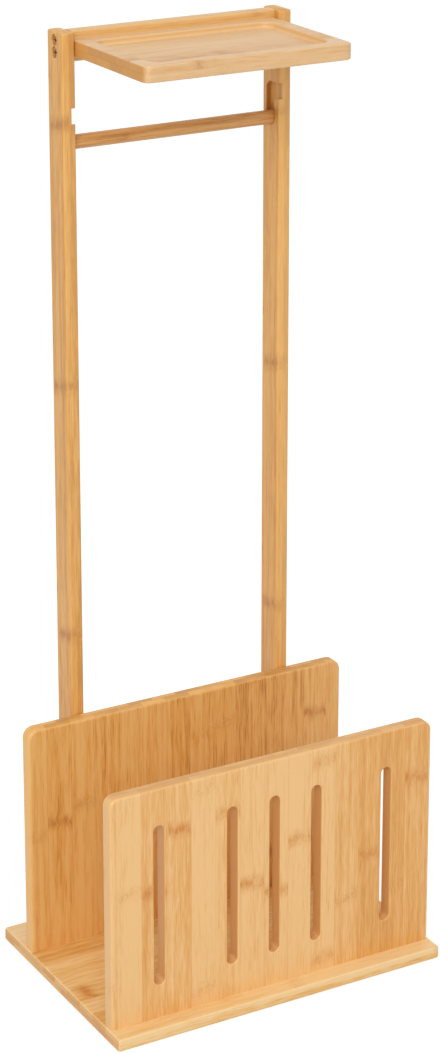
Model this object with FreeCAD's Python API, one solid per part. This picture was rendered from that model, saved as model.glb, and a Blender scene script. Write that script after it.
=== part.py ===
import FreeCAD, Part
import os
from FreeCAD import Vector

# Bamboo toilet paper stand: a base board carries two panels, which make a magazine bay, and two posts.
# A rail joins the posts at the top and carries a routed tray, and a round bar for the roll
# rests in grooves cut into the posts' inner faces.
# X runs from left to right, Y from front to back, Z up. The origin is the middle of the base's underside.

# Driving dimensions in millimetres
base_width = 310.0
base_depth = 214.0
base_thickness = 10.5
panel_thickness = 13.0
panel_height = 204.5
front_ledge = 16.0
back_ledge = 13.0
post_width = 12.0
post_depth = 26.0
post_inset = 49.0
stand_height = 800.0
rail_thickness = 12.0
rail_height = 25.0
tray_depth = 124.0
tray_thickness = 13.5
tray_drop = 6.5
tray_rim = 13.0
tray_recess = 5.0
bar_diameter = 12.0
bar_drop = 92.0
bar_lift = 23.5
groove_depth = 4.0
slot_width = 9.6
slot_length = 142.0
slot_sill = 29.5
dowel_diameter = 6.0
dowel_bite = 8.0
screw_shank = 4.0
screw_head = 8.5
screw_head_height = 3.0
screw_head_sink = 4.0
screw_bite = 30.0

# Rounding radii
base_corner_round = 2.5
base_top_round = 2.0
base_foot_round = 0.8
panel_corner_round = 9.0
panel_edge_round = 2.5
slot_edge_round = 1.2
post_edge_round = 2.0
post_top_round = 1.5
rail_edge_round = 1.5
tray_corner_round = 7.0
tray_edge_round = 1.5
recess_corner_round = 10.0
recess_cove = 2.5
recess_straight = 0.5
bar_end_round = 1.0

# Fits and clearances
panel_end_inset = 2.0
tray_side_gap = 0.25
bar_play = 0.75
bar_seat_gap = 0.3
bar_end_gap = 0.5
hole_gap = 0.1
head_bore_gap = 0.5
hole_end_room = 1.0

# Places as shares of the length that carries them
slot_places = (-0.354, -0.131, 0.0, 0.131, 0.354)
panel_screw_places = (-0.243, 0.243)
panel_dowel_places = (-0.44, 0.44)
tray_screw_places = (-0.27, 0.0, 0.27)
tray_dowel_places = (-0.135, 0.135)
rail_screw_places = (0.32, 0.72)
post_screw_places = (0.25, 0.75)
screw_point_share = 0.15
screw_tip_share = 0.25
cross_arm_share = 0.3
cross_blade_share = 0.07
cross_depth_share = 0.6
back_screw_bite_share = 0.6
dowel_base_share = 1 / 3
lip_round_share = 0.7

# Sizes worked out from the driving dimensions
base_top = base_thickness
panel_top = base_top + panel_height
panel_width = base_width - 2 * panel_end_inset
front_face_y = -base_depth / 2 + front_ledge
post_back_y = base_depth / 2 - back_ledge
post_front_y = post_back_y - post_depth
post_mid_y = (post_front_y + post_back_y) / 2
rear_face_y = post_front_y - panel_thickness
post_outer_x = base_width / 2 - post_inset
post_inner_x = post_outer_x - post_width
post_mid_x = (post_outer_x + post_inner_x) / 2
rail_bottom = stand_height - rail_height
rail_front_y = post_mid_y - rail_thickness / 2
rail_back_y = post_mid_y + rail_thickness / 2
tray_top = stand_height - tray_drop
tray_bottom = tray_top - tray_thickness
tray_half = post_inner_x - tray_side_gap
tray_front_y = rail_front_y - tray_depth
tray_fixing_z = tray_bottom + (tray_thickness - tray_recess) / 2
cove_radius = min(recess_cove, tray_recess - tray_edge_round - recess_straight)
bar_z = stand_height - bar_drop
groove_radius = bar_diameter / 2 + bar_play
groove_seat_z = bar_z + bar_play - bar_seat_gap
groove_entry_z = groove_seat_z + bar_lift
lip_round = lip_round_share * (post_depth / 2 - groove_radius)
dowel_length = dowel_bite / dowel_base_share
touch = 0.01
overrun = 1.0

RIGHT = 1
LEFT = -1
UP = Vector(0, 0, 1)
FORWARD = Vector(0, -1, 0)
BACKWARD = Vector(0, 1, 0)
RIGHTWARD = Vector(1, 0, 0)


def span_box(x, y, z):
    """A box from a low and a high value on each axis."""
    return Part.makeBox(x[1] - x[0], y[1] - y[0], z[1] - z[0], Vector(x[0], y[0], z[0]))


def edges_in_plane(shape, axis, level):
    """The edges that lie wholly where the axis named "X", "Y" or "Z" has the given value."""
    def lies(edge):
        low = getattr(edge.BoundBox, axis + "Min")
        high = getattr(edge.BoundBox, axis + "Max")
        return abs(low - level) < touch and abs(high - level) < touch
    return [edge for edge in shape.Edges if lies(edge)]


def edges_along(shape, axis):
    """The straight edges that run along the axis named "X", "Y" or "Z"."""
    def runs(edge):
        size = {name: getattr(edge.BoundBox, name + "Length") for name in "XYZ"}
        return all((size[name] > touch) == (name == axis) for name in "XYZ")
    return [edge for edge in shape.Edges if runs(edge)]


def without(edges, unwanted):
    """The edges that are not in the second list."""
    return [edge for edge in edges if not any(edge.isSame(other) for other in unwanted)]


def aimed(shape, seat, direction):
    """A copy of a shape made along +Z from the origin, moved to a seat and turned to a direction."""
    copy = shape.copy()
    copy.Placement = FreeCAD.Placement(seat, FreeCAD.Rotation(UP, direction))
    return copy


def wood_screw(length):
    """A screw along +Z with its head's underside at zero and a cross recess in the head."""
    point = screw_point_share * length
    radius = screw_shank / 2
    shank = Part.makeCylinder(radius, length - point)
    tip = Part.makeCone(radius, screw_tip_share * radius, point, Vector(0, 0, length - point))
    head = Part.makeCylinder(screw_head / 2, screw_head_height, Vector(0, 0, -screw_head_height))
    arm = cross_arm_share * screw_head
    blade = cross_blade_share * screw_head
    sunk = (-screw_head_height - overrun, (cross_depth_share - 1) * screw_head_height)
    cross = span_box((-arm, arm), (-blade, blade), sunk)
    cross = cross.fuse(span_box((-blade, blade), (-arm, arm), sunk))
    return shank.fuse([tip, head]).removeSplitter().cut(cross)


def screw_hole(length):
    """The hole for a screw: a bore that sinks the head, and a clearance hole for the shank."""
    sink = screw_head_sink + overrun
    bore = Part.makeCylinder(screw_head / 2 + head_bore_gap, sink, Vector(0, 0, -sink))
    hole = Part.makeCylinder(screw_shank / 2 + hole_gap, length + hole_end_room)
    return bore.fuse(hole)


def screw_set(seats, direction, passed, bite):
    """Screws that pass through one piece of wood, less the sunk head, and bite into the next."""
    return [(Vector(*seat), direction, passed - screw_head_sink + bite) for seat in seats]


def panel_screws(panel_y):
    """Screws up through the base into a panel's lower edge."""
    seats = [(place * panel_width, panel_y, screw_head_sink) for place in panel_screw_places]
    return screw_set(seats, UP, base_thickness, screw_bite)


def rail_screws(side):
    """Screws through a post's outer face into the end of the rail."""
    seats = [(side * (post_outer_x - screw_head_sink), post_mid_y, rail_bottom + place * rail_height)
             for place in rail_screw_places]
    return screw_set(seats, Vector(-side, 0, 0), post_width, screw_bite)


def post_panel_screws(side):
    """Screws from the back, through a post and into the rear panel."""
    seats = [(side * post_mid_x, post_back_y - screw_head_sink, base_top + place * panel_height)
             for place in post_screw_places]
    return screw_set(seats, FORWARD, post_depth, back_screw_bite_share * panel_thickness)


def post_foot_screw(side):
    """One screw up through the base into the foot of a post."""
    return screw_set([(side * post_mid_x, post_mid_y, screw_head_sink)], UP, base_thickness, screw_bite)


def tray_screws():
    """Screws from the back, through the rail and into the tray's rear edge."""
    seats = [(place * 2 * post_inner_x, rail_back_y - screw_head_sink, tray_fixing_z)
             for place in tray_screw_places]
    return screw_set(seats, FORWARD, rail_thickness, screw_bite)


front_panel_y = front_face_y + panel_thickness / 2
rear_panel_y = rear_face_y + panel_thickness / 2
screws = {
    "front_panel_screws": panel_screws(front_panel_y),
    "rear_panel_screws": panel_screws(rear_panel_y),
    "left_rail_screws": rail_screws(LEFT),
    "right_rail_screws": rail_screws(RIGHT),
    "left_post_back_screws": post_panel_screws(LEFT),
    "right_post_back_screws": post_panel_screws(RIGHT),
    "left_post_foot_screw": post_foot_screw(LEFT),
    "right_post_foot_screw": post_foot_screw(RIGHT),
    "tray_screws": tray_screws(),
}


def panel_dowels(panel_y):
    """Dowel seats in the base's top, under a panel."""
    return [(Vector(place * panel_width, panel_y, base_top - dowel_bite), UP) for place in panel_dowel_places]


dowels = {
    "front_panel_dowels": panel_dowels(front_panel_y),
    "rear_panel_dowels": panel_dowels(rear_panel_y),
    "tray_dowels": [(Vector(place * 2 * post_inner_x, rail_front_y + dowel_bite, tray_fixing_z), FORWARD)
                    for place in tray_dowel_places],
}


def drilled(shape, *names):
    """A piece of wood with the holes of the named screws and dowels cut out of it."""
    holes = []
    for name in names:
        for seat, direction, length in screws.get(name, []):
            holes.append(aimed(screw_hole(length), seat, direction))
        for seat, direction in dowels.get(name, []):
            hole = Part.makeCylinder(dowel_diameter / 2 + hole_gap, dowel_length + hole_end_room)
            holes.append(aimed(hole, seat, direction))
    return shape.cut(holes)


def base_board():
    """The board on the floor, with rounded corners and a rounded top edge."""
    half_x, half_y = base_width / 2, base_depth / 2
    board = span_box((-half_x, half_x), (-half_y, half_y), (0, base_top))
    board = board.makeFillet(base_corner_round, edges_along(board, "Z"))
    board = board.makeFillet(base_top_round, edges_in_plane(board, "Z", base_top))
    board = board.makeFillet(base_foot_round, edges_in_plane(board, "Z", 0))
    return drilled(board, "front_panel_screws", "rear_panel_screws", "left_post_foot_screw",
                   "right_post_foot_screw", "front_panel_dowels", "rear_panel_dowels")


def face_edges(board, front_y):
    """The edges of a panel's front and back faces, less those on the base."""
    edges = edges_in_plane(board, "Y", front_y) + edges_in_plane(board, "Y", front_y + panel_thickness)
    return without(edges, edges_in_plane(board, "Z", base_top))


def panel_blank(front_y):
    """An upright board with rounded top corners and rounded edges."""
    half, back_y = panel_width / 2, front_y + panel_thickness
    board = span_box((-half, half), (front_y, back_y), (base_top, panel_top))
    top_corners = [edge for edge in edges_along(board, "Y") if edge.CenterOfMass.z > panel_top - touch]
    board = board.makeFillet(panel_corner_round, top_corners)
    return board.makeFillet(panel_edge_round, face_edges(board, front_y))


def panel_slot(middle_x):
    """One upright slot through the front panel, with round ends."""
    radius = slot_width / 2
    reach = panel_thickness + 2 * overrun
    low = base_top + slot_sill + radius
    high = base_top + slot_sill + slot_length - radius
    start_y = front_face_y - overrun
    slot = span_box((middle_x - radius, middle_x + radius), (start_y, start_y + reach), (low, high))
    ends = [Part.makeCylinder(radius, reach, Vector(middle_x, start_y, z), BACKWARD) for z in (low, high)]
    return slot.fuse(ends).removeSplitter()


def front_panel():
    """The panel at the front of the bay, with its five slots, whose edges are eased."""
    board = panel_blank(front_face_y)
    outline = [edge.CenterOfMass for edge in face_edges(board, front_face_y)]
    board = board.cut([panel_slot(place * panel_width) for place in slot_places])
    slot_edges = [edge for edge in face_edges(board, front_face_y)
                  if all(edge.CenterOfMass.distanceToPoint(middle) > touch for middle in outline)]
    board = board.makeFillet(slot_edge_round, slot_edges)
    return drilled(board, "front_panel_screws", "front_panel_dowels")


def rear_panel():
    """The plain panel at the back of the bay, which the posts are fixed to."""
    return drilled(panel_blank(rear_face_y), "rear_panel_screws", "rear_panel_dowels",
                   "left_post_back_screws", "right_post_back_screws")


def bar_groove(side):
    """The groove for the bar: an entry from the post's front, and a drop down to the seat."""
    start_x = post_inner_x if side == RIGHT else -post_inner_x - groove_depth
    across = (start_x, start_x + groove_depth)
    drop = span_box(across, (post_mid_y - groove_radius, post_mid_y + groove_radius),
                    (groove_seat_z, groove_entry_z))
    entry = span_box(across, (post_front_y - overrun, post_mid_y),
                     (groove_entry_z - groove_radius, groove_entry_z + groove_radius))
    ends = [Part.makeCylinder(groove_radius, groove_depth, Vector(start_x, post_mid_y, z), RIGHTWARD)
            for z in (groove_seat_z, groove_entry_z)]
    return drop.fuse([entry] + ends).removeSplitter()


def post(side, name):
    """One upright post, with the bar's groove in its inner face and an eased lip where the groove turns."""
    outer, inner = side * post_outer_x, side * post_inner_x
    bar = span_box(sorted((outer, inner)), (post_front_y, post_back_y), (base_top, stand_height))
    bar = bar.makeFillet(post_edge_round, edges_along(bar, "Z"))
    bar = bar.makeFillet(post_top_round, edges_in_plane(bar, "Z", stand_height))
    bar = bar.cut(bar_groove(side))
    lip_x = side * (post_inner_x + groove_depth / 2)
    lip = Vector(lip_x, post_mid_y - groove_radius, groove_entry_z - groove_radius)
    corner = [edge for edge in edges_along(bar, "X") if edge.CenterOfMass.distanceToPoint(lip) < touch]
    bar = bar.makeFillet(lip_round, corner)
    return drilled(bar, name + "_rail_screws", name + "_post_back_screws", name + "_post_foot_screw")


def top_rail():
    """The rail between the posts' tops."""
    bar = span_box((-post_inner_x, post_inner_x), (rail_front_y, rail_back_y), (rail_bottom, stand_height))
    bar = bar.makeFillet(rail_edge_round, edges_along(bar, "X"))
    return drilled(bar, "left_rail_screws", "right_rail_screws", "tray_screws", "tray_dowels")


def shelf_tray():
    """The tray in front of the rail: a thick board with a shallow routed floor and rounded front corners."""
    board = span_box((-tray_half, tray_half), (tray_front_y, rail_front_y), (tray_bottom, tray_top))
    front_corners = [edge for edge in edges_along(board, "Z") if edge.CenterOfMass.y < tray_front_y + touch]
    board = board.makeFillet(tray_corner_round, front_corners)
    inner = tray_half - tray_rim
    pocket = span_box((-inner, inner), (tray_front_y + tray_rim, rail_front_y - tray_rim),
                      (tray_top - tray_recess, tray_top + tray_recess))
    pocket = pocket.makeFillet(recess_corner_round, edges_along(pocket, "Z"))
    pocket = pocket.makeFillet(cove_radius, edges_in_plane(pocket, "Z", tray_top - tray_recess))
    board = board.cut(pocket)
    arrises = edges_in_plane(board, "Z", tray_top) + edges_in_plane(board, "Z", tray_bottom)
    board = board.makeFillet(tray_edge_round, without(arrises, edges_in_plane(board, "Y", rail_front_y)))
    return drilled(board, "tray_screws", "tray_dowels")


def roll_bar():
    """The loose round bar, which lifts out of its seats to change the roll."""
    half = post_inner_x + groove_depth - bar_end_gap
    bar = Part.makeCylinder(bar_diameter / 2, 2 * half, Vector(-half, post_mid_y, bar_z), RIGHTWARD)
    ends = edges_in_plane(bar, "X", -half) + edges_in_plane(bar, "X", half)
    return bar.makeFillet(bar_end_round, ends)


def screw_group(name):
    """All the screws of one set, each a solid of its own."""
    return Part.makeCompound([aimed(wood_screw(length), seat, way) for seat, way, length in screws[name]])


def dowel_group(name):
    """All the dowels of one set, each a solid of its own."""
    pin = Part.makeCylinder(dowel_diameter / 2, dowel_length)
    return Part.makeCompound([aimed(pin, seat, way) for seat, way in dowels[name]])


pieces = {
    "base_board": base_board(),
    "front_panel": front_panel(),
    "rear_panel": rear_panel(),
    "left_post": post(LEFT, "left"),
    "right_post": post(RIGHT, "right"),
    "top_rail": top_rail(),
    "shelf_tray": shelf_tray(),
    "roll_bar": roll_bar(),
}
pieces.update({name: screw_group(name) for name in screws})
pieces.update({name: dowel_group(name) for name in dowels})

os.makedirs("parts", exist_ok=True)
for name, shape in pieces.items():
    shape.exportStep("parts/" + name + ".step")
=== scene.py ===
import math

import bpy
import numpy as np
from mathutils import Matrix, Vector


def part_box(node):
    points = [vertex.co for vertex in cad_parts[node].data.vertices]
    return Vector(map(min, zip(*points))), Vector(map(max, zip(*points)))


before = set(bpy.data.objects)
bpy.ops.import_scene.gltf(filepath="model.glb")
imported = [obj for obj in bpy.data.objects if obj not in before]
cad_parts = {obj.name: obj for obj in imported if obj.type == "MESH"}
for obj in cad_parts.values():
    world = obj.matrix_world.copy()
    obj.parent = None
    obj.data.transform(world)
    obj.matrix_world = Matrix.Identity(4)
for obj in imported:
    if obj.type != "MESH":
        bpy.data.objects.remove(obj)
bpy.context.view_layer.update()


# Base board.
# A flat board glued up from bamboo strips that run from side to side, with rounded corners and edges.
# It lies on the floor, sanded and clear lacquered; the panels and posts are screwed to it from below.
def node(tree, kind, inputs, **settings):
    """Adds one shader node; each input is linked if it is given a socket, and set if it is given a value."""
    made = tree.nodes.new("ShaderNode" + kind)
    for name, value in settings.items():
        setattr(made, name, value)
    for name, value in inputs.items():
        if isinstance(value, bpy.types.NodeSocket):
            tree.links.new(value, made.inputs[name])
        else:
            made.inputs[name].default_value = value
    return made


def calc(tree, operation, first, second=0.0, third=0.0):
    """One sum on single values."""
    return node(tree, "Math", {0: first, 1: second, 2: third}, operation=operation).outputs[0]


def added(tree, total, value, weight):
    """A total with a weighted value added to it."""
    return calc(tree, "MULTIPLY_ADD", value, weight, total)


def centred(tree, value):
    """A value from 0 to 1, moved to lie about zero."""
    return calc(tree, "SUBTRACT", value, 0.5)


def ease(tree, value, low, high, start=0.0, end=1.0):
    """Goes smoothly from start to end while the value goes from low to high, and stays there."""
    inputs = {"Value": value, "From Min": low, "From Max": high, "To Min": start, "To Max": end}
    return node(tree, "MapRange", inputs, interpolation_type="SMOOTHSTEP").outputs["Result"]


def fade(tree, value, low, high):
    """One up to low, falling smoothly to nothing at high."""
    return ease(tree, value, low, high, 1.0, 0.0)


def to_edge(tree, share):
    """How far a share from 0 to 1 is from the nearer end."""
    return calc(tree, "MINIMUM", share, calc(tree, "SUBTRACT", 1.0, share))


def blend(tree, share, first, second):
    """Mixes two colours by a share from 0 to 1; the node's colour sockets have no names of their own."""
    mix = node(tree, "Mix", {0: share, 6: first, 7: second}, data_type="RGBA")
    return mix.outputs[2]


def blotches(tree, place, lengths, detail=2.0, roughness=0.5):
    """Noise in blotches of the given lengths along the grain, across it and through the board, in metres."""
    scaled = [calc(tree, "DIVIDE", value, length) for value, length in zip(place, lengths)]
    vector = node(tree, "CombineXYZ", dict(enumerate(scaled))).outputs[0]
    inputs = {"Vector": vector, "Scale": 1.0, "Detail": detail, "Roughness": roughness}
    return node(tree, "TexNoise", inputs).outputs[0]


def bamboo_strips_group():
    """Bamboo strips side by side: tone by strip, fibre streaks, the stem's rings, seams and end grain, and a
    painted highlight on rounded edges.
    """
    tree = bpy.data.node_groups.new("bamboo_strips", "ShaderNodeTree")
    numbers = [
        "Along", "Across", "Depth", "Seed", "Strip Width", "Strip Depth", "Strip Tones",
        "Ring Seed", "Ring Gap", "Ring Strength", "Streaks", "Flames", "End Face", "Side Face", "Round Edge",
    ]
    colours = ["Pale", "Warm", "Brown", "Ring", "End Grain"]
    for name in numbers:
        tree.interface.new_socket(name=name, in_out="INPUT", socket_type="NodeSocketFloat")
    for name in colours:
        tree.interface.new_socket(name=name, in_out="INPUT", socket_type="NodeSocketColor")
    for name, kind in {"Color": "Color", "Roughness": "Float", "Height": "Float"}.items():
        tree.interface.new_socket(name=name, in_out="OUTPUT", socket_type="NodeSocket" + kind)
    given = tree.nodes.new("NodeGroupInput").outputs
    along, across, depth = given["Along"], given["Across"], given["Depth"]

    # Which strip and layer a point is in. The layers are staggered
    stagger = 0.43
    layer_place = calc(tree, "DIVIDE", depth, given["Strip Depth"])
    layer = calc(tree, "FLOOR", layer_place)
    in_layer = calc(tree, "FRACT", layer_place)
    strip_place = calc(tree, "ADD", calc(tree, "DIVIDE", across, given["Strip Width"]), given["Seed"])
    strip_place = added(tree, strip_place, layer, stagger)
    strip = calc(tree, "FLOOR", strip_place)
    in_strip = calc(tree, "FRACT", strip_place)

    # Three random numbers for each strip: its tone, the place of its rings, and how strong they are
    strip_shift = 7.0
    tone_cell = node(tree, "CombineXYZ", {0: strip, 1: layer, 2: given["Seed"]}).outputs[0]
    tone_dice = node(tree, "TexWhiteNoise", {"Vector": tone_cell}, noise_dimensions="3D").outputs["Value"]
    ring_cell = node(tree, "CombineXYZ", {0: strip, 1: layer, 2: given["Ring Seed"]}).outputs[0]
    ring_dice = node(tree, "TexWhiteNoise", {"Vector": ring_cell}, noise_dimensions="3D").outputs["Color"]
    ring_dice = node(tree, "SeparateColor", {"Color": ring_dice}).outputs
    place_dice, look_dice = ring_dice[0], ring_dice[1]
    own_along = added(tree, calc(tree, "ADD", along, given["Seed"]), place_dice, strip_shift)
    place = (own_along, across, depth)

    # Rings of the stem: a soft tan cloud, weak on some strips, with short strokes and curled marks in it
    waver_size = (0.05, 0.008, 0.02)
    waver_reach = 0.008
    slant_reach = 0.012
    cloud_size = (0.012, 0.006, 0.010)
    cloud_reach = 0.011
    stroke_size = (0.012, 0.0013, 0.003)
    stroke_reach = 0.005
    stroke_weight = 0.45
    curl_size = (0.008, 0.006, 0.020)
    curl_reach = (0.003, 0.010)
    curl_breadth = 0.05
    curl_weight = 0.20
    ring = calc(tree, "ADD", calc(tree, "DIVIDE", along, given["Ring Gap"]), place_dice)
    from_ring = calc(tree, "MULTIPLY", centred(tree, calc(tree, "FRACT", ring)), given["Ring Gap"])
    waver = centred(tree, blotches(tree, place, waver_size))
    from_ring = added(tree, from_ring, waver, waver_reach)
    slant = calc(tree, "MULTIPLY", centred(tree, look_dice), centred(tree, in_strip))
    from_ring = added(tree, from_ring, slant, slant_reach)
    off_ring = calc(tree, "ABSOLUTE", from_ring)
    near_ring = fade(tree, off_ring, 0.0, cloud_reach)
    cloudy = ease(tree, blotches(tree, place, cloud_size), 0.35, 0.65, 0.25, 0.75)
    strokes = ease(tree, blotches(tree, place, stroke_size, 2.0, 0.6), 0.40, 0.66)
    dashes = calc(tree, "MULTIPLY", strokes, fade(tree, off_ring, 0.0, stroke_reach))
    curl_field = centred(tree, blotches(tree, place, curl_size, 1.0))
    curls = fade(tree, calc(tree, "ABSOLUTE", curl_field), 0.0, curl_breadth)
    curls = calc(tree, "MULTIPLY", curls, fade(tree, off_ring, *curl_reach))
    ring_share = calc(tree, "MULTIPLY", near_ring, cloudy)
    ring_share = added(tree, ring_share, dashes, stroke_weight)
    ring_share = calc(tree, "MULTIPLY", ring_share, ease(tree, look_dice, 0.15, 0.9, 0.12, 0.9))
    ring_share = added(tree, ring_share, curls, curl_weight)
    ring_share = calc(tree, "MULTIPLY", ring_share, given["Ring Strength"])

    # Fibres run with the grain and bend a little round a ring; the darkest are thin bundles of limited length
    bend_size = (0.010, 0.006, 0.02)
    bend_reach = 0.008
    fine_size = (0.045, 0.0011, 0.0015)
    flame_size = (0.034, 0.0034, 0.005)
    hair_size = (0.014, 0.0009, 0.0012)
    broad_size = (0.180, 0.0042, 0.005)
    shade_size = (0.120, 0.030, 0.030)
    bundle_size = (0.024, 0.00055, 0.0008)
    seam_reach = (0.0001, 0.0006)
    bend = centred(tree, blotches(tree, place, bend_size, 1.0))
    bent = added(tree, across, calc(tree, "MULTIPLY", bend, near_ring), bend_reach)
    fibre_place = (own_along, bent, depth)
    fine = blotches(tree, fibre_place, fine_size, 3.0, 0.6)
    flames = blotches(tree, fibre_place, flame_size, 3.0, 0.55)
    hairs = blotches(tree, fibre_place, hair_size, 1.0)
    broad = blotches(tree, fibre_place, broad_size)
    shades = blotches(tree, place, shade_size)
    bundles = ease(tree, blotches(tree, fibre_place, bundle_size, 0.0), 0.60, 0.74)
    seam = calc(tree, "MULTIPLY", to_edge(tree, in_strip), given["Strip Width"])
    seam = fade(tree, seam, *seam_reach)

    # Long grain: all of these add up to one darkness, from pale through warm to brown
    middle_dark = 0.22
    shade_weight = 0.6
    hair_weight = 1.3
    fine_weight = 1.3
    broad_weight = 2.0
    bundle_weight = 0.35
    seam_weight = 0.22
    streak = calc(tree, "MULTIPLY", centred(tree, fine), fine_weight)
    streak = added(tree, streak, centred(tree, broad), broad_weight)
    streak = added(tree, streak, bundles, bundle_weight)
    dark = added(tree, middle_dark, centred(tree, tone_dice), given["Strip Tones"])
    dark = added(tree, dark, centred(tree, shades), shade_weight)
    dark = added(tree, dark, centred(tree, hairs), hair_weight)
    dark = added(tree, dark, streak, given["Streaks"])
    flame_weight = calc(tree, "MULTIPLY", given["Flames"], ease(tree, look_dice, 0.1, 0.9, 0.4, 1.4))
    dark = added(tree, dark, centred(tree, flames), flame_weight)
    colour = blend(tree, ease(tree, dark, -0.35, 0.65), given["Pale"], given["Warm"])
    colour = blend(tree, ease(tree, dark, 0.40, 1.15), colour, given["Brown"])
    ring_share = added(tree, ring_share, seam, seam_weight)
    colour = blend(tree, calc(tree, "MINIMUM", ring_share, 1.0), colour, given["Ring"])

    # End grain: cut fibre bundles show as fine dots, closer together towards one side of each strip
    dots_per_metre = 1100.0
    dot_weight = 0.30
    end_shade_weight = 0.30
    end_seam_weight = 0.15
    glue_reach = (0.0002, 0.0008)
    glue_weight = 0.30
    painted_edge_highlight = 0.30
    dot_place = node(tree, "CombineXYZ", {0: across, 1: depth, 2: 0.0}).outputs[0]
    dots = node(tree, "TexVoronoi", {"Vector": dot_place, "Scale": dots_per_metre}).outputs["Distance"]
    dots = fade(tree, dots, 0.22, 0.42)
    dots = calc(tree, "MULTIPLY", dots, ease(tree, in_layer, 0.0, 1.0, 0.25, 1.0))
    glue_line = calc(tree, "MULTIPLY", to_edge(tree, in_layer), given["Strip Depth"])
    glue_line = fade(tree, glue_line, *glue_reach)
    end_share = added(tree, ease(tree, look_dice, 0.1, 0.9, 0.0, 0.5), dots, dot_weight)
    end_share = added(tree, end_share, ease(tree, shades, 0.45, 0.75), end_shade_weight)
    end_share = added(tree, end_share, seam, end_seam_weight)
    end_share = added(tree, end_share, glue_line, glue_weight)
    end_colour = blend(tree, calc(tree, "MINIMUM", end_share, 1.0), given["End Grain"], given["Brown"])
    colour = blend(tree, given["Side Face"], colour, given["End Grain"])
    colour = blend(tree, given["End Face"], colour, end_colour)
    # Painted highlight: rounded edges turn towards the pale colour.
    colour = blend(tree, calc(tree, "MULTIPLY", given["Round Edge"], painted_edge_highlight), colour, given["Pale"])

    # The lacquer is duller on the end grain and in the open dashes, and sinks a little into the seams
    middle_rough = 0.46
    fine_rough = 0.16
    dash_rough = 0.10
    end_rough = 0.10
    dash_height = -0.1
    seam_height = -0.5
    rough = added(tree, middle_rough, centred(tree, fine), fine_rough)
    rough = added(tree, rough, dashes, dash_rough)
    rough = added(tree, rough, given["End Face"], end_rough)
    height = added(tree, fine, dashes, dash_height)
    height = added(tree, height, seam, seam_height)
    out = tree.nodes.new("NodeGroupOutput")
    for name, value in {"Color": colour, "Roughness": rough, "Height": height}.items():
        tree.links.new(value, out.inputs[name])
    return tree


bamboo_strips = bamboo_strips_group()


def coat(material, *pieces):
    """Puts a material on CAD nodes in place of their plain one."""
    for piece in pieces:
        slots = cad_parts[piece].data.materials
        slots.clear()
        slots.append(material)


def bamboo(piece, grain, side_paling, values, cut_box=None, cut_painted_shade=None):
    """Lacquered bamboo for a CAD node, with its pattern centred on the node.

    The grain names the axes along the strips, across them and through the board. Side paling is how far the
    edges along the strips turn to the colour of end grain. In the cut box, which is measured from the node's
    middle, the edges are the walls of a slot, groove or recess, and take the cut colour: painted shade on
    these walls.
    """
    turn_start, turn_end = 0.55, 0.95
    round_start, round_end = 0.75, 0.98
    material = bpy.data.materials.new(piece + "_bamboo")
    material.use_nodes = True
    tree = material.node_tree
    tree.nodes.clear()
    low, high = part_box(piece)
    centre = [-(a + b) / 2 for a, b in zip(low, high)]
    coordinates = node(tree, "TexCoord", {}).outputs
    moved = node(tree, "Mapping", {"Vector": coordinates["Object"], "Location": centre}).outputs[0]
    place = node(tree, "SeparateXYZ", {"Vector": moved}).outputs
    facing = node(tree, "SeparateXYZ", {"Vector": coordinates["Normal"]}).outputs
    faces = [calc(tree, "ABSOLUTE", facing[axis]) for axis in grain]
    squarest = calc(tree, "MAXIMUM", calc(tree, "MAXIMUM", faces[0], faces[1]), faces[2])
    strips = tree.nodes.new("ShaderNodeGroup")
    strips.node_tree = bamboo_strips
    linked = {
        "Along": place[grain[0]], "Across": place[grain[1]], "Depth": place[grain[2]],
        "End Face": ease(tree, faces[0], turn_start, turn_end),
        "Side Face": ease(tree, faces[1], turn_start, turn_end, 0.0, side_paling),
        "Round Edge": fade(tree, squarest, round_start, round_end),
    }
    for name, value in linked.items():
        tree.links.new(value, strips.inputs[name])
    for name, value in values.items():
        strips.inputs[name].default_value = value
    colour = strips.outputs["Color"]
    # Painted shade: the walls inside the cut box take the darker cut colour.
    if cut_box:
        painted_shade_share = ease(tree, calc(tree, "MAXIMUM", faces[0], faces[1]), turn_start, turn_end)
        for axis, low_edge, high_edge in zip("XYZ", *cut_box):
            above = calc(tree, "GREATER_THAN", place[axis], low_edge)
            below = calc(tree, "LESS_THAN", place[axis], high_edge)
            painted_shade_share = calc(tree, "MULTIPLY", painted_shade_share, calc(tree, "MULTIPLY", above, below))
        colour = blend(tree, painted_shade_share, colour, cut_painted_shade)
    bump = node(tree, "Bump", {"Strength": 0.18, "Distance": 0.0004, "Height": strips.outputs["Height"]})
    shader = node(tree, "BsdfPrincipled", {
        "Base Color": colour, "Roughness": strips.outputs["Roughness"],
        "Normal": bump.outputs["Normal"], "Coat Weight": 0.12, "Coat Roughness": 0.32,
    })
    node(tree, "OutputMaterial", {"Surface": shader.outputs[0]})
    coat(material, piece)


board_strip = 0.0229
bamboo("base_board", "XYZ", 0.0, {
    "Seed": 26.6114, "Strip Width": board_strip, "Strip Depth": 0.0060, "Strip Tones": 0.9,
    "Ring Seed": 3.3228, "Ring Gap": 0.35, "Ring Strength": 1.2, "Streaks": 0.55, "Flames": 0.8,
    "Pale": (0.90, 0.635, 0.315, 1.0), "Warm": (0.80, 0.450, 0.130, 1.0),
    "Brown": (0.60, 0.275, 0.065, 1.0), "Ring": (0.60, 0.235, 0.045, 1.0),
    "End Grain": (0.80, 0.475, 0.18, 1.0),
})
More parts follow.
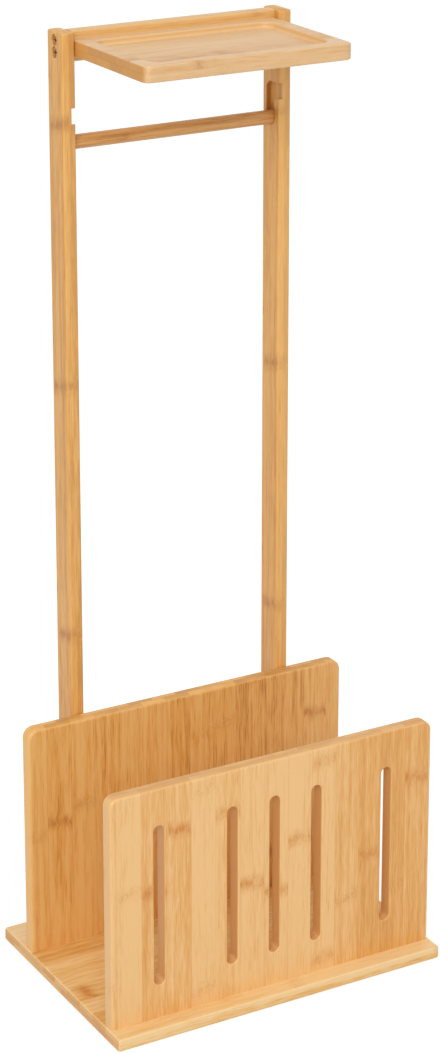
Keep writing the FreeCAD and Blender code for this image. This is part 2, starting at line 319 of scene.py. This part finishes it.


# Front panel.
# An upright board of bamboo strips that run from bottom to top, with five long slots cut through it.
# Its top corners are rounded; it stands in front of the magazine bay on screws and dowels from the base.
# Painted shade: the walls of the slots take this darker tan.
slot_painted_shade = (0.73, 0.40, 0.145, 1.0)
panel_slots = ((-0.128, -0.0062, -0.0740), (0.128, 0.0062, 0.0705))
bamboo("front_panel", "ZXY", 0.8, {
    "Seed": 35.8710, "Strip Width": board_strip, "Strip Depth": 0.0070, "Strip Tones": 1.3,
    "Ring Seed": 339.9558, "Ring Gap": 0.18, "Ring Strength": 1.3, "Streaks": 0.60, "Flames": 0.5,
    "Pale": (0.875, 0.540, 0.228, 1.0), "Warm": (0.775, 0.382, 0.101, 1.0),
    "Brown": (0.64, 0.295, 0.070, 1.0), "Ring": (0.64, 0.250, 0.042, 1.0),
    "End Grain": (0.81, 0.475, 0.19, 1.0),
}, panel_slots, slot_painted_shade)


# Rear panel.
# The same board without slots. Its colours are browner than the front panel's, partly the strips' own tone
# and partly painted shade for the bay behind the front panel. It stands in front of the posts, which are
# screwed to it.
bamboo("rear_panel", "ZXY", 0.6, {
    "Seed": 99.3752, "Strip Width": board_strip, "Strip Depth": 0.0070, "Strip Tones": 0.6,
    "Ring Seed": 97.6377, "Ring Gap": 0.25, "Ring Strength": 1.15, "Streaks": 0.9, "Flames": 1.1,
    "Pale": (0.82, 0.475, 0.158, 1.0), "Warm": (0.74, 0.360, 0.084, 1.0),
    "Brown": (0.51, 0.215, 0.040, 1.0), "Ring": (0.54, 0.205, 0.034, 1.0),
    "End Grain": (0.88, 0.480, 0.135, 1.0),
})


# Posts.
# Two long bamboo bars that stand on the base behind the rear panel, with their fibres upright.
# Each has a groove cut in its inner face, into which one end of the roll bar drops.
post_finish = {
    "Strip Width": board_strip, "Strip Depth": 0.0065, "Strip Tones": 0.9,
    "Ring Gap": 0.22, "Ring Strength": 1.2, "Streaks": 1.3, "Flames": 1.2,
    "Pale": (0.780, 0.420, 0.112, 1.0), "Warm": (0.690, 0.322, 0.066, 1.0),
    "Brown": (0.55, 0.235, 0.040, 1.0), "Ring": (0.51, 0.205, 0.034, 1.0),
    "End Grain": (0.92, 0.560, 0.200, 1.0),
}
left_finish = {"Seed": 34.0251, "Ring Seed": 15.8273, **post_finish}
right_finish = {"Seed": 22.0207, "Ring Seed": 11.3537, **post_finish}
# Painted shade: the walls of the grooves take this dark brown.
groove_painted_shade = (0.47, 0.195, 0.034, 1.0)
left_groove = ((0.0010, -0.0120, 0.286), (0.0058, 0.0126, 0.342))
right_groove = ((-0.0058, -0.0120, 0.286), (-0.0010, 0.0126, 0.342))
bamboo("left_post", "ZYX", 0.22, left_finish, left_groove, groove_painted_shade)
bamboo("right_post", "ZYX", 0.4, right_finish, right_groove, groove_painted_shade)


# Top rail.
# A flat bamboo bar on edge between the tops of the posts, held by two screws through each post.
bamboo("top_rail", "XZY", 0.2, {
    "Seed": 4.83, "Strip Width": 0.0135, "Strip Depth": 0.0065, "Strip Tones": 0.5,
    "Ring Seed": 4.83, "Ring Gap": 0.33, "Ring Strength": 0.6, "Streaks": 0.6, "Flames": 0.4,
    "Pale": (0.79, 0.490, 0.195, 1.0), "Warm": (0.72, 0.395, 0.120, 1.0),
    "Brown": (0.56, 0.260, 0.060, 1.0), "Ring": (0.46, 0.20, 0.05, 1.0),
    "End Grain": (0.74, 0.45, 0.20, 1.0),
})


# Shelf tray.
# A thick board in front of the rail, of bamboo strips from side to side in two layers.
# A shallow floor with rounded corners is routed into its top, so that small things don't roll off.
# Painted shade: the walls of the recess take this tan.
recess_painted_shade = (0.77, 0.485, 0.205, 1.0)
tray_recess = ((-0.0815, -0.0498, 0.0010), (0.0815, 0.0498, 0.0064))
bamboo("shelf_tray", "XYZ", 0.15, {
    "Seed": 30.5986, "Strip Width": board_strip, "Strip Depth": 0.0080, "Strip Tones": 0.8,
    "Ring Seed": 57.6837, "Ring Gap": 0.24, "Ring Strength": 0.9, "Streaks": 0.5, "Flames": 0.7,
    "Pale": (0.79, 0.530, 0.285, 1.0), "Warm": (0.71, 0.410, 0.172, 1.0),
    "Brown": (0.49, 0.220, 0.055, 1.0), "Ring": (0.48, 0.185, 0.042, 1.0),
    "End Grain": (0.67, 0.320, 0.074, 1.0),
}, tray_recess, recess_painted_shade)


# Roll bar.
# A turned bamboo rod that carries the paper roll. It lies loose in the posts' grooves and lifts out.
bamboo("roll_bar", "XZY", 0.0, {
    "Seed": 12.9, "Strip Width": 0.0070, "Strip Depth": 0.0070, "Strip Tones": 0.2,
    "Ring Seed": 8.09, "Ring Gap": 0.36, "Ring Strength": 0.6, "Streaks": 2.0, "Flames": 0.9,
    "Pale": (0.71, 0.370, 0.122, 1.0), "Warm": (0.62, 0.290, 0.078, 1.0),
    "Brown": (0.45, 0.190, 0.042, 1.0), "Ring": (0.40, 0.16, 0.036, 1.0),
    "End Grain": (0.70, 0.38, 0.15, 1.0),
})


# Screws.
# Bronze-coloured steel wood screws with cross recesses, sunk below the faces that they go in from.
plating_dark = (0.38, 0.180, 0.058, 1.0)
plating_light = (0.54, 0.300, 0.120, 1.0)
screw_steel = bpy.data.materials.new("screw_steel")
screw_steel.use_nodes = True
screw_tree = screw_steel.node_tree
screw_tree.nodes.clear()
screw_place = node(screw_tree, "TexCoord", {}).outputs["Object"]
plating = node(screw_tree, "TexNoise", {"Vector": screw_place, "Scale": 900.0, "Detail": 4.0}).outputs[0]
scratches = node(screw_tree, "TexNoise", {"Vector": screw_place, "Scale": 5000.0, "Detail": 2.0}).outputs[0]
plating_colour = blend(screw_tree, ease(screw_tree, plating, 0.35, 0.65), plating_dark, plating_light)
screw_bump = node(screw_tree, "Bump", {"Strength": 0.1, "Distance": 0.0001, "Height": scratches})
screw_shader = node(screw_tree, "BsdfPrincipled", {
    "Base Color": plating_colour, "Roughness": ease(screw_tree, scratches, 0.3, 0.7, 0.28, 0.46),
    "Metallic": 0.8, "Normal": screw_bump.outputs["Normal"],
})
node(screw_tree, "OutputMaterial", {"Surface": screw_shader.outputs[0]})
coat(screw_steel, "front_panel_screws", "rear_panel_screws", "left_rail_screws", "right_rail_screws")
coat(screw_steel, "left_post_back_screws", "right_post_back_screws", "tray_screws")
coat(screw_steel, "left_post_foot_screw", "right_post_foot_screw")


# Dowels.
# Short wooden pegs inside the boards that keep the panels and the tray from turning on their screws.
dowel_finish = {
    "Seed": 1.56, "Strip Width": 0.0045, "Strip Depth": 0.0045, "Strip Tones": 0.5,
    "Ring Seed": 1.56, "Ring Gap": 0.4, "Ring Strength": 0.3, "Streaks": 0.5, "Flames": 0.3,
    "Pale": (0.80, 0.49, 0.22, 1.0), "Warm": (0.74, 0.42, 0.16, 1.0),
    "Brown": (0.56, 0.27, 0.08, 1.0), "Ring": (0.42, 0.20, 0.07, 1.0),
    "End Grain": (0.74, 0.49, 0.27, 1.0),
}
bamboo("front_panel_dowels", "ZXY", 0.0, dowel_finish)
bamboo("rear_panel_dowels", "ZXY", 0.0, dowel_finish)
bamboo("tray_dowels", "YXZ", 0.0, dowel_finish)


# Floor.
# A plain white studio floor that runs out of sight and keeps the stand's soft shadow.
def seen_directly(tree):
    """One for rays from the camera and mirrored or passed ones, and nothing for rays that light things."""
    rays = node(tree, "LightPath", {}).outputs
    seen = calc(tree, "MAXIMUM", rays["Is Camera Ray"], rays["Is Glossy Ray"])
    return calc(tree, "MAXIMUM", seen, rays["Is Transmission Ray"])


floor_half = 8.0
floor_drop = 0.0004
floor_grey = (0.70, 0.70, 0.70, 1.0)
floor_lift = 0.52
floor_x, floor_y = np.meshgrid([-floor_half, floor_half], [-floor_half, floor_half])
floor_points = np.stack([floor_x.ravel(), floor_y.ravel(), np.full(4, -floor_drop)], axis=1)
floor_mesh = bpy.data.meshes.new("floor")
floor_mesh.from_pydata(floor_points.tolist(), [], [(0, 1, 3, 2)])
floor = bpy.data.objects.new("floor", floor_mesh)
bpy.context.scene.collection.objects.link(floor)
floor_white = bpy.data.materials.new("floor_white")
floor_white.use_nodes = True
floor_tree = floor_white.node_tree
floor_tree.nodes.clear()
floor_paint = node(floor_tree, "BsdfDiffuse", {"Color": floor_grey})
floor_strength = calc(floor_tree, "MULTIPLY", seen_directly(floor_tree), floor_lift)
floor_glow = node(floor_tree, "Emission", {"Strength": floor_strength})
floor_both = node(floor_tree, "AddShader", {0: floor_paint.outputs[0], 1: floor_glow.outputs[0]})
node(floor_tree, "OutputMaterial", {"Surface": floor_both.outputs[0]})
floor_mesh.materials.append(floor_white)


# Studio light.
# A white surround, seen as plain white, with a broad soft lamp at the front left and another overhead.
surround_light = 0.66
surround_white = (1.0, 1.0, 1.0, 1.0)
stand_middle = (0.0, 0.0, 0.4)
world = bpy.data.worlds.new("studio")
bpy.context.scene.world = world
world.use_nodes = True
world_tree = world.node_tree
world_tree.nodes.clear()
world_strength = added(world_tree, surround_light, seen_directly(world_tree), 1.0 - surround_light)
world_sky = node(world_tree, "Background", {"Color": surround_white, "Strength": world_strength})
node(world_tree, "OutputWorld", {"Surface": world_sky.outputs[0]})


def soft_lamp(name, place, width, watts):
    """A square area lamp at a place, turned to the stand's middle."""
    lamp = bpy.data.lights.new(name, "AREA")
    lamp.shape = "SQUARE"
    lamp.size = width
    lamp.energy = watts
    holder = bpy.data.objects.new(name, lamp)
    bpy.context.scene.collection.objects.link(holder)
    holder.location = place
    aim = np.array(stand_middle) - np.array(place)
    level = math.hypot(aim[0], aim[1])
    holder.rotation_euler = (math.atan2(level, -aim[2]), 0.0, math.atan2(-aim[0], aim[1]))
    holder.visible_camera = False


soft_lamp("front_lamp", (-2.3, -3.0, 2.6), width=2.2, watts=80.0)
soft_lamp("overhead_lamp", (0.0, -0.5, 5.5), width=2.8, watts=22.0)


# Camera.
# It looks down on the stand from the front left, with the lens moved down to keep the posts upright.
camera_data = bpy.data.cameras.new("camera")
camera_data.sensor_width = 36.0
camera_data.lens = 98.63
camera_data.shift_y = -0.25
camera = bpy.data.objects.new("camera", camera_data)
camera.location = (-1.1043, -1.9447, 1.2452)
camera.rotation_euler = (math.radians(74.232), 0.0, math.radians(-29.581))
bpy.context.scene.collection.objects.link(camera)
bpy.context.scene.camera = camera
bpy.context.scene.view_settings.view_transform = "Standard"
